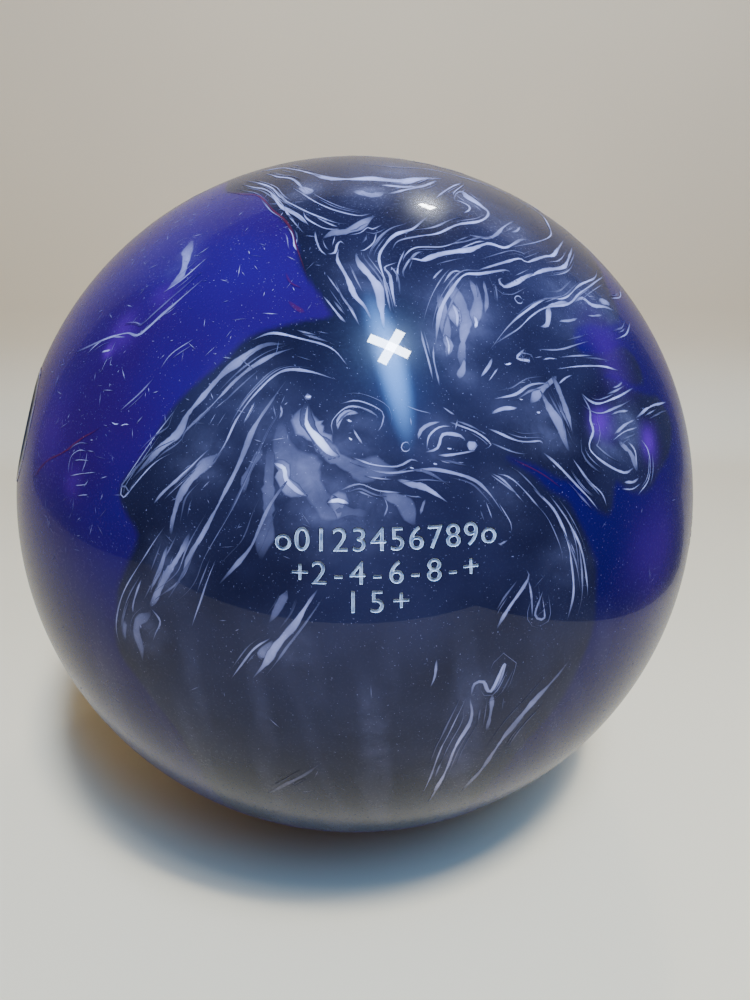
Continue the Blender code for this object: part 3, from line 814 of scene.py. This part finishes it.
def make_veins_and_highlights(look):
    """All veins and flecks, with the painted glints and the pale rings painted round the holes as highlights,
    as one piece of thin strips.
    """
    rng = np.random.default_rng(VEIN_SEED)
    store = {"points": [], "faces": [], "vein_and_glint": [], "rust": []}
    runs = []
    for kind, group in (("vein_and_glint", VEINS_AND_GLINTS), ("rust", RUST)):
        for width, strength, *places in group:
            path = smooth_path(places)
            if width > 0.9 and strength < 1 and places[0][0] < -4 and places[0][1] < 19:
                strength *= 0.62
            drawn = width * (BROAD_SCALE if places[0][1] > 20 or width > 1.4 else FINE_SCALE)
            runs.append((kind, drawn, strength, path, 0.22))
            # a soft wide painted glow round each white glint
            if strength > 1 and width > 0.6:
                runs.append((kind, 2.6 * width, 0.45, path, 0.3))
            if kind == "rust" or width > 2.1 or width <= 0.3 or strength > 1:
                continue
            # thinner companions beside it
            for _ in range(3 if width > 0.55 else 2):
                count = len(path)
                if count < 10:
                    continue
                start, end = sorted(rng.uniform(0, 1, 2))
                start, end = min(start, 0.55), max(end, 0.6)
                part = path[int(start * count):int(end * count) + 1]
                offset = rng.choice((-1, 1)) * (0.6 * width + rng.uniform(0.3, 2.4)) * MM / BALL_RADIUS
                if len(part) > 5:
                    thin, faint = rng.uniform(0.16, 0.42), rng.uniform(0.2, 0.65)
                    runs.append(("vein_and_glint", thin, strength * faint, shifted(part, offset), 0.4))
    order = sorted(range(len(runs)), key=lambda i: -runs[i][1])
    face_centre = on_face(0, 0)
    level = 0
    for index, turn in enumerate(TURNS):
        for i in order:
            kind, width, strength, path, taper = runs[i]
            if index and width < 0.34:
                continue
            moved = path @ turn.T
            off_face = np.degrees(np.arccos(np.clip(moved @ face_centre, -1, 1)))
            near = np.degrees(np.arccos(np.clip(moved @ CENTRES[1:].T, -1, 1)))
            keep = ~in_the_way(moved)
            if index:
                keep &= off_face > FACE_REACH
                keep &= near[:, index - 1] <= near.min(axis=1) + 6
                moved, keep = moved[::2], keep[::2]
            level = (level + 1) % LIFT_STEPS
            for part in pieces_of(moved, keep):
                ribbon(part, width, strength, VEIN_LIFT + LIFT_STEP * level, kind, store, rng, taper)
    # fine scratches and pearl flecks all over, closer together in the blue at the left
    for _ in range(FLECK_COUNT):
        centre = rng.normal(size=3)
        if rng.uniform() < 0.4:
            centre = on_face(rng.uniform(-50, -4), rng.uniform(-8, 46)) + 0.001 * centre
        centre /= np.linalg.norm(centre)
        heading = rng.normal(size=3)
        heading -= centre * (heading @ centre)
        heading /= np.linalg.norm(heading)
        length = rng.uniform(0.25, 1.5) ** 2 * MM / BALL_RADIUS
        path = centre + heading * np.linspace(-length, length, 6)[:, None]
        path /= np.linalg.norm(path, axis=1, keepdims=True)
        if not in_the_way(path).any():
            level = (level + 1) % LIFT_STEPS
            width, strength = rng.uniform(0.08, 0.20), rng.uniform(0.2, 0.9)
            ribbon(path, width, strength, VEIN_LIFT + LIFT_STEP * level, "vein_and_glint", store, rng, 0.45)
    # a pale ring painted round each drilled mouth: a painted highlight where its edge catches the light
    for axis, radius in ((THUMB_AXIS, THUMB_HOLE_RADIUS), *((a, FINGER_HOLE_RADIUS) for a in FINGER_AXES)):
        ribbon(mouth_ring(axis, radius + 0.0005), 0.7, 0.6, MOUTH_HIGHLIGHT_LIFT, "vein_and_glint", store, rng, 0.01)
    points = np.array(store["points"])
    mesh = mesh_from("pearl_veins_and_highlights", points, store["faces"])
    write_fields(mesh, {"vein_and_glint": np.array(store["vein_and_glint"]), "rust": np.array(store["rust"])})
    mesh.polygons.foreach_set("use_smooth", np.ones(len(mesh.polygons), bool))
    normals = points / np.linalg.norm(points, axis=1, keepdims=True)
    mesh.normals_split_custom_set_from_vertices([tuple(n) for n in normals])
    return add_object("pearl_veins_and_highlights", mesh, look=look)


# ---- pieces ----

def grip_axes():
    """Placements of the thumb hole and the two finger holes, each along its own +Z."""
    thumb = facing(direction(THUMB_PLACE))
    middle = direction(FINGER_PAIR_PLACE)
    side = middle.cross(direction(THUMB_PLACE)).normalized()
    half_pitch = FINGER_HOLE_RADIUS + FINGER_BRIDGE / 2
    fingers = [Matrix.Translation(side * half_pitch * sign) @ facing(middle) for sign in (-1, 1)]
    return thumb, fingers


THUMB_AXIS, FINGER_AXES = grip_axes()


def mouth_centre(axis):
    """Where a hole's axis meets the ball's surface, as a unit vector."""
    foot, out = axis.translation, axis.to_3x3() @ Vector((0, 0, 1))
    along = math.sqrt(BALL_RADIUS ** 2 - foot.length_squared)
    return np.array((foot + out * along).normalized())


def mouth_ring(axis, radius):
    """Unit vectors round a hole's mouth on the ball's surface, for a cylinder of this radius."""
    ring = []
    for angle in np.radians(np.arange(0, 361, 2)):
        flat = axis @ Vector((radius * math.cos(angle), radius * math.sin(angle), 0.0))
        out = axis.to_3x3() @ Vector((0, 0, 1))
        along = flat.dot(out)
        rise = math.sqrt(along ** 2 + BALL_RADIUS ** 2 - flat.length_squared) - along
        ring.append((flat + out * rise).normalized())
    return np.array(ring)


def glyph_places():
    """Each character with the direction of its middle."""
    for characters, elevation, middle, pitch in ROWS:
        for number, character in enumerate(characters):
            offset = number - (len(characters) - 1) / 2
            yield character, direction((middle + offset * pitch, elevation))


HOLES = [(mouth_centre(THUMB_AXIS), THUMB_CLEAR)] + [(mouth_centre(a), FINGER_CLEAR) for a in FINGER_AXES]
HOLES += [(np.array(direction(PIN_PLACE)), PIN_CLEAR), (np.array(direction(CG_PLACE)), MARK_CLEAR)]
HOLES += [(np.array(outward), GLYPH_CLEAR) for character, outward in glyph_places()]


def glyph_mesh(character, spread, top, bottom, resolution):
    """A character as a solid between two heights, its outline moved out by `spread`."""
    text = bpy.data.curves.new("glyph", "FONT")
    text.body = character
    text.size = GLYPH_SIZE
    text.align_x = text.align_y = "CENTER"
    text.resolution_u = resolution
    text.extrude = (top - bottom) / 2
    holder = add_object("glyph", text)
    graph = bpy.context.evaluated_depsgraph_get()
    mesh = bpy.data.meshes.new_from_object(holder.evaluated_get(graph))
    bpy.data.objects.remove(holder)
    shape = bmesh.new()
    shape.from_mesh(mesh)
    bmesh.ops.remove_doubles(shape, verts=shape.verts, dist=0.000002)
    bmesh.ops.translate(shape, verts=shape.verts, vec=(0.0, 0.0, (top + bottom) / 2))
    bmesh.ops.recalc_face_normals(shape, faces=shape.faces)
    shape.normal_update()
    for corner in shape.verts:
        level = Vector((corner.normal.x, corner.normal.y, 0.0))
        if level.length > 1e-6:
            corner.co += level.normalized() * spread
    shape.to_mesh(mesh)
    shape.free()
    return mesh


def joined(name, parts, look=None):
    """One object from (mesh, matrix) pairs."""
    shape = bmesh.new()
    for mesh, matrix in parts:
        moved = mesh.copy()
        moved.transform(matrix)
        shape.from_mesh(moved)
    mesh = bpy.data.meshes.new(name)
    shape.to_mesh(mesh)
    shape.free()
    return add_object(name, mesh, look=look)


def make_ball(look):
    """The shell: a hollow sphere, drilled and engraved."""
    shape = bmesh.new()
    bmesh.ops.create_icosphere(shape, subdivisions=SHELL_LEVEL, radius=BALL_RADIUS)
    centre = Vector(on_face(0, 0))
    cap = [e for e in shape.edges if all(v.co.angle(centre) < math.radians(CAP_REACH) for v in e.verts)]
    bmesh.ops.subdivide_edges(shape, edges=cap, cuts=1, use_grid_fill=True)
    for vertex in shape.verts:
        vertex.co = vertex.co.normalized() * BALL_RADIUS
    hollow = bmesh.ops.create_icosphere(shape, subdivisions=5, radius=BALL_RADIUS - SHELL_THICKNESS)["verts"]
    bmesh.ops.reverse_faces(shape, faces=list({f for v in hollow for f in v.link_faces}))
    mesh = bpy.data.meshes.new("marbled_shell")
    shape.to_mesh(mesh)
    shape.free()
    ball = add_object("marbled_shell", mesh, look=look)

    top = BALL_RADIUS * 1.1

    def drill(radius, foot):
        """A cutter from well above the surface down to its foot."""
        return turned_mesh("drill", [(0, top), (radius, top), (radius, foot), (0, foot)], 96)

    parts = [(drill(THUMB_HOLE_RADIUS, BALL_RADIUS - THUMB_HOLE_DEPTH), THUMB_AXIS)]
    parts += [(drill(FINGER_HOLE_RADIUS, BALL_RADIUS - FINGER_HOLE_DEPTH), axis) for axis in FINGER_AXES]
    parts.append((drill(PIN_RADIUS, PIN_FOOT), facing(direction(PIN_PLACE))))
    parts.append((drill(CG_RADIUS, BALL_RADIUS - CG_DEPTH), facing(direction(CG_PLACE))))
    cutter = joined("cutter", parts)
    step = ball.modifiers.new("drill", "BOOLEAN")
    step.operation = "DIFFERENCE"
    step.object = cutter
    grooves = bpy.data.collections.new("grooves")
    for character, outward in glyph_places():
        mesh = glyph_mesh(character, GLYPH_GAP, BALL_RADIUS + GROOVE_DEPTH, BALL_RADIUS - GROOVE_DEPTH, 4)
        groove = bpy.data.objects.new("groove", mesh)
        groove.matrix_world = facing(outward)
        grooves.objects.link(groove)
    bpy.context.scene.collection.children.link(grooves)
    step = ball.modifiers.new("engrave", "BOOLEAN")
    step.operation = "DIFFERENCE"
    step.operand_type = "COLLECTION"
    step.collection = grooves
    graph = bpy.context.evaluated_depsgraph_get()
    cut = bpy.data.meshes.new_from_object(ball.evaluated_get(graph))
    ball.modifiers.clear()
    ball.data = cut
    cut.name = "marbled_shell"
    for spent in [cutter, *grooves.objects]:
        bpy.data.objects.remove(spent)
    bpy.data.collections.remove(grooves)
    write_fields(cut)
    sphere_normals(cut, BALL_RADIUS - FACE_TOLERANCE)
    return ball


def finish_surface(mesh, sharp):
    """Points the faces outward and smooths the edges flatter than `sharp` degrees."""
    shape = bmesh.new()
    shape.from_mesh(mesh)
    bmesh.ops.recalc_face_normals(shape, faces=shape.faces)
    shape.to_mesh(mesh)
    shape.free()
    mesh.shade_smooth()
    mesh.set_sharp_from_angle(angle=math.radians(sharp))


def sleeve(name, axis, look, outer, bore, foot, floor=None, lip=0.0011, segments=96):
    """A bonded sleeve whose rim follows the ball's surface and rounds into its bore."""
    centre = np.array(axis.translation)
    frame3 = np.array(axis.to_3x3())

    def surface(radius, angle):
        flat = centre + frame3 @ np.array((radius * math.cos(angle), radius * math.sin(angle), 0.0))
        out = frame3[:, 2]
        along = float(flat @ out)
        return -along + math.sqrt(along ** 2 + BALL_RADIUS ** 2 - float(flat @ flat))

    # each row is a ring: radius, depth below the surface or None, height along the axis or None
    rows = [(outer, None, foot), (outer, None, BALL_RADIUS * 0.8)]
    rows += [(outer, 0.00025, None), (outer - 0.0002, 0.00003, None)]
    rows += [(bore + lip + (outer - bore - lip) * t, 0.00003, None) for t in (0.7, 0.35)]
    for i in range(8):
        angle = math.radians(90 * i / 7)
        rows.append((bore + lip - lip * math.sin(angle), 0.00003 + lip * (1 - math.cos(angle)), None))
    rows.append((bore, 0.006, None))
    if floor is None:
        rows += [(bore, None, foot + 0.0006), (bore + 0.0006, None, foot), (outer, None, foot)]
    else:
        rows += [(bore, None, floor + 0.003)]
        rows += [(bore - 0.003 + 0.003 * math.cos(a), None, floor + 0.003 - 0.003 * math.sin(a))
                 for a in (math.radians(22.5 * i) for i in range(1, 5))]
        rows += [(bore * 0.5, None, floor)]
    points = []
    for radius, drop, height in rows:
        for i in range(segments):
            angle = 2 * math.pi * i / segments
            z = height if drop is None else surface(radius, angle) - drop
            points.append((radius * math.cos(angle), radius * math.sin(angle), z))
    faces = []
    last = len(rows) - 1
    for row in range(last):
        for i in range(segments):
            j = (i + 1) % segments
            a, b = row * segments, (row + 1) * segments
            faces.append((a + i, a + j, b + j, b + i))
    if floor is None:
        # the last row repeats the first, so the sleeve is one closed ring
        points = points[:last * segments]
        faces = [tuple(c % (last * segments) for c in face) for face in faces]
    else:
        faces.append(tuple(last * segments + i for i in range(segments)))
        faces.append(tuple(reversed(range(segments))))
    mesh = mesh_from(name, points, faces)
    finish_surface(mesh, 35)
    return add_object(name, mesh, axis, look)


def domed(name, radius, top, foot, axis, look, segments=48):
    """A peg whose end follows the ball's surface."""
    edge = 0.00015
    outline = [(0.0, top)]
    outline += [(r, math.sqrt(top ** 2 - r ** 2)) for r in ((radius - edge) * i / 5 for i in range(1, 6))]
    outline += [(radius, math.sqrt(top ** 2 - radius ** 2) - edge), (radius, foot), (0.0, foot)]
    mesh = turned_mesh(name, outline, segments)
    finish_surface(mesh, 40)
    return add_object(name, mesh, axis, look)


def sunken_middle(mesh):
    """Lowers the middle of each stroke of paint inside a brighter rim, and marks it for the darker colour."""
    shape = bmesh.new()
    shape.from_mesh(mesh)
    dark_middle = shape.verts.layers.float.new("dark_middle")
    top = [f for f in shape.faces if f.normal.z > 0.9]
    bmesh.ops.inset_region(shape, faces=top, thickness=0.00013, depth=-0.00008, use_even_offset=True)
    for face in top:
        for vertex in face.verts:
            vertex[dark_middle] = 1.0
    shape.to_mesh(mesh)
    shape.free()
    return mesh


def place(piece, slot, *nodes):
    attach(piece, "root")
    if nodes:
        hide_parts(*nodes)
    return piece


resin = marbled_resin()
place(make_ball(resin), "coverstock", "coverstock")
place(make_veins_and_highlights(resin), "coverstock")

slug_look = matte("thumb_urethane", (0.012, 0.012, 0.015), (0.026, 0.026, 0.032), 260, 0.36, 0.10)
vinyl_look = matte("finger_vinyl", (0.014, 0.015, 0.020), (0.028, 0.029, 0.036), 300, 0.48, 0.12)
pin_look = matte("pin_resin", (0.60, 0.62, 0.70), (0.74, 0.77, 0.84), 180, 0.22, 0.02, 1.0)
paint_look = matte("engraving_paint", (0.62, 0.70, 0.76), (0.84, 0.92, 0.97), 620, 0.42, 0.25)
filler_look = matte("filler_resin", (0.52, 0.45, 0.33), (0.68, 0.60, 0.46), 140, 0.62, 0.2)
block_look = matte("block_resin", (0.42, 0.08, 0.05), (0.58, 0.15, 0.09), 160, 0.5, 0.15)
dense_look = matte("dense_resin", (0.07, 0.07, 0.085), (0.17, 0.17, 0.19), 420, 0.5, 0.2)

thumb_foot, thumb_floor = BALL_RADIUS - THUMB_HOLE_DEPTH + GAP, BALL_RADIUS - THUMB_BORE_DEPTH
place(sleeve("thumb_sleeve", THUMB_AXIS, slug_look, THUMB_HOLE_RADIUS - GAP, THUMB_BORE_RADIUS,
             thumb_foot, thumb_floor), "thumb_slug", "thumb_slug")
for number, axis in enumerate(FINGER_AXES, start=1):
    place(sleeve(f"finger_sleeve_{number}", axis, vinyl_look, FINGER_HOLE_RADIUS - GAP, FINGER_BORE_RADIUS,
                 BALL_RADIUS - FINGER_INSERT_LENGTH), "finger_inserts", f"finger_insert_{number}")
pin_axis = facing(direction(PIN_PLACE))
place(domed("pin_peg", PIN_RADIUS - GAP, BALL_RADIUS - 0.00002, PIN_FOOT + GAP, pin_axis, pin_look),
      "locating_pin", "locating_pin")
place(domed("centre_dot", CG_RADIUS - GLYPH_GAP, BALL_RADIUS - GLYPH_TOP, BALL_RADIUS - CG_DEPTH + GLYPH_GAP,
            facing(direction(CG_PLACE)), paint_look, 32), "mark_paint", "cg_mark")

fills = []
for character, outward in glyph_places():
    glyph = glyph_mesh(character, 0.0, BALL_RADIUS - GLYPH_TOP, BALL_RADIUS - GLYPH_BOTTOM, 8)
    fills.append((sunken_middle(glyph), facing(outward)))
marks = joined("engraving_fill", fills, engraving_paint())
place(marks, "mark_paint", *[name for name in frame["nodes"] if name.startswith("paint_")])

for node, look in (("core_filler", filler_look), ("weight_block", block_look), ("dense_insert", dense_look)):
    for slot in frame["nodes"][node].material_slots:
        slot.material = look

# ---- camera ----
elevation = math.radians(CAMERA_ELEVATION)
back = Vector((0.0, -math.cos(elevation), math.sin(elevation)))
right = Vector((1.0, 0.0, 0.0))
above = back.cross(right)
eye = back * CAMERA_DISTANCE
aim = (right * FRAME_RIGHT - above * FRAME_DOWN) * (CAMERA_DISTANCE / FOCAL_PIXELS)
camera_data = bpy.data.cameras.new("camera")
camera_data.lens = LENS
camera_data.sensor_width = SENSOR_WIDTH
camera_data.clip_start = 0.005
camera = bpy.data.objects.new("camera", camera_data)
camera.location = eye
camera.rotation_euler = (aim - eye).to_track_quat("-Z", "Y").to_euler()
bpy.context.scene.collection.objects.link(camera)
bpy.context.scene.camera = camera


# ---- lights ----
def mirrored(across, up, distance):
    """The point that the camera sees reflected at this place on the face."""
    normal = Vector(on_face(across, up))
    spot = normal * BALL_RADIUS
    view = (eye - spot).normalized()
    return spot + (2 * normal.dot(view) * normal - view) * distance


def area_light(name, centre, width, height, watts, colour, along=None):
    data = bpy.data.lights.new(name, "AREA")
    data.shape = "RECTANGLE"
    data.size, data.size_y = width, height
    data.energy = watts
    data.color = colour
    lamp = bpy.data.objects.new(name, data)
    out = centre.normalized()
    across = (along if along is not None else Vector((0, 0, 1)).cross(out)).normalized()
    across = (across - out * across.dot(out)).normalized()
    turn = Matrix((across, out.cross(across), out)).transposed().to_4x4()
    turn.translation = centre
    lamp.matrix_world = turn
    bpy.context.scene.collection.objects.link(lamp)
    return lamp


def bar_light(name, start, end, watts, distance=1.0):
    """A long lamp whose reflection runs between two places on the face."""
    first, last = mirrored(*start, distance), mirrored(*end, distance)
    area_light(name, (first + last) / 2, (last - first).length, BAR_WIDTH, watts, COOL_WHITE, last - first)


def glow_light():
    """A tall blue panel that fades from its middle to its edges."""
    data = area_light("glow_panel", mirrored(3.9, 14.6, 1.1), 0.25, 1.30, 35.0, GLOW_BLUE).data
    data.use_nodes = True
    tree = data.node_tree
    centred = tree.nodes.new("ShaderNodeVectorMath")
    centred.operation = "SUBTRACT"
    centred.inputs[1].default_value = (0.5, 0.5, 0.0)
    reach = tree.nodes.new("ShaderNodeVectorMath")
    reach.operation = "LENGTH"
    fade = tree.nodes.new("ShaderNodeMapRange")
    fade.interpolation_type = "SMOOTHERSTEP"
    for name, number in (("From Min", 0.5), ("From Max", 0.0), ("To Min", 0.0), ("To Max", GLOW_FADE)):
        fade.inputs[name].default_value = number
    spread = tree.nodes.new("ShaderNodeNewGeometry").outputs["Parametric"]
    tree.links.new(spread, centred.inputs[0])
    tree.links.new(centred.outputs["Vector"], reach.inputs[0])
    tree.links.new(reach.outputs["Value"], fade.inputs["Value"])
    tree.links.new(fade.outputs["Result"], tree.nodes["Emission"].inputs["Strength"])


bar_light("bar_1", (1.4, 17.8), (6.0, 15.7), 11.5)
bar_light("bar_2", (2.8, 14.7), (5.2, 18.7), 11.0, 1.03)
glow_light()
area_light("round_lamp", mirrored(12.0, 40.0, 1.0), 0.05, 0.05, 3.0, NEAR_WHITE)

world = bpy.data.worlds.new("studio")
world.use_nodes = True
world.node_tree.nodes["Background"].inputs["Color"].default_value = (0.49, 0.51, 0.54, 1.0)
world.node_tree.nodes["Background"].inputs["Strength"].default_value = 0.26
bpy.context.scene.world = world


# ---- floor and backdrop, one sheet that curves up behind the ball ----
def make_sweep():
    look = Look("studio_paper")
    height = look.tree.nodes.new("ShaderNodeSeparateXYZ")
    look.tree.links.new(look.coordinates, height.inputs[0])
    mottle = look.remap(look.noise(3, 2), 0.3, 0.7)
    floor = look.mix(mottle, (0.80, 0.61, 0.345), (0.85, 0.65, 0.37))
    wall = look.mix(mottle, (0.61, 0.43, 0.23), (0.66, 0.465, 0.25))
    look.set(Base_Color=look.mix(look.remap(height.outputs["Z"], -0.10, 0.02), floor, wall), Roughness=0.8)
    level = -BALL_RADIUS
    bend_start = SHEET_BEHIND - SHEET_BEND
    rows = [(y, level) for y in np.linspace(SHEET_FRONT, bend_start, 24)]
    rows += [(bend_start + SHEET_BEND * math.sin(a), level + SHEET_BEND - SHEET_BEND * math.cos(a))
             for a in (math.radians(90 * i / 16) for i in range(1, 17))]
    rows.append((SHEET_BEHIND, level + SHEET_TOP))
    points = []
    for y, z in rows:
        # the right edge widens towards the backdrop
        t = min(1.0, max(0.0, (y - FLARE_START) / FLARE_LENGTH))
        points += [(SHEET_LEFT, y, z), (SHEET_RIGHT + FLARE * t * t * (3 - 2 * t), y, z)]
    faces = [(2 * i, 2 * i + 1, 2 * i + 3, 2 * i + 2) for i in range(len(rows) - 1)]
    mesh = mesh_from("studio_sweep", points, faces)
    mesh.shade_smooth()
    sweep = add_object("studio_sweep", mesh, look=look.material)


make_sweep()
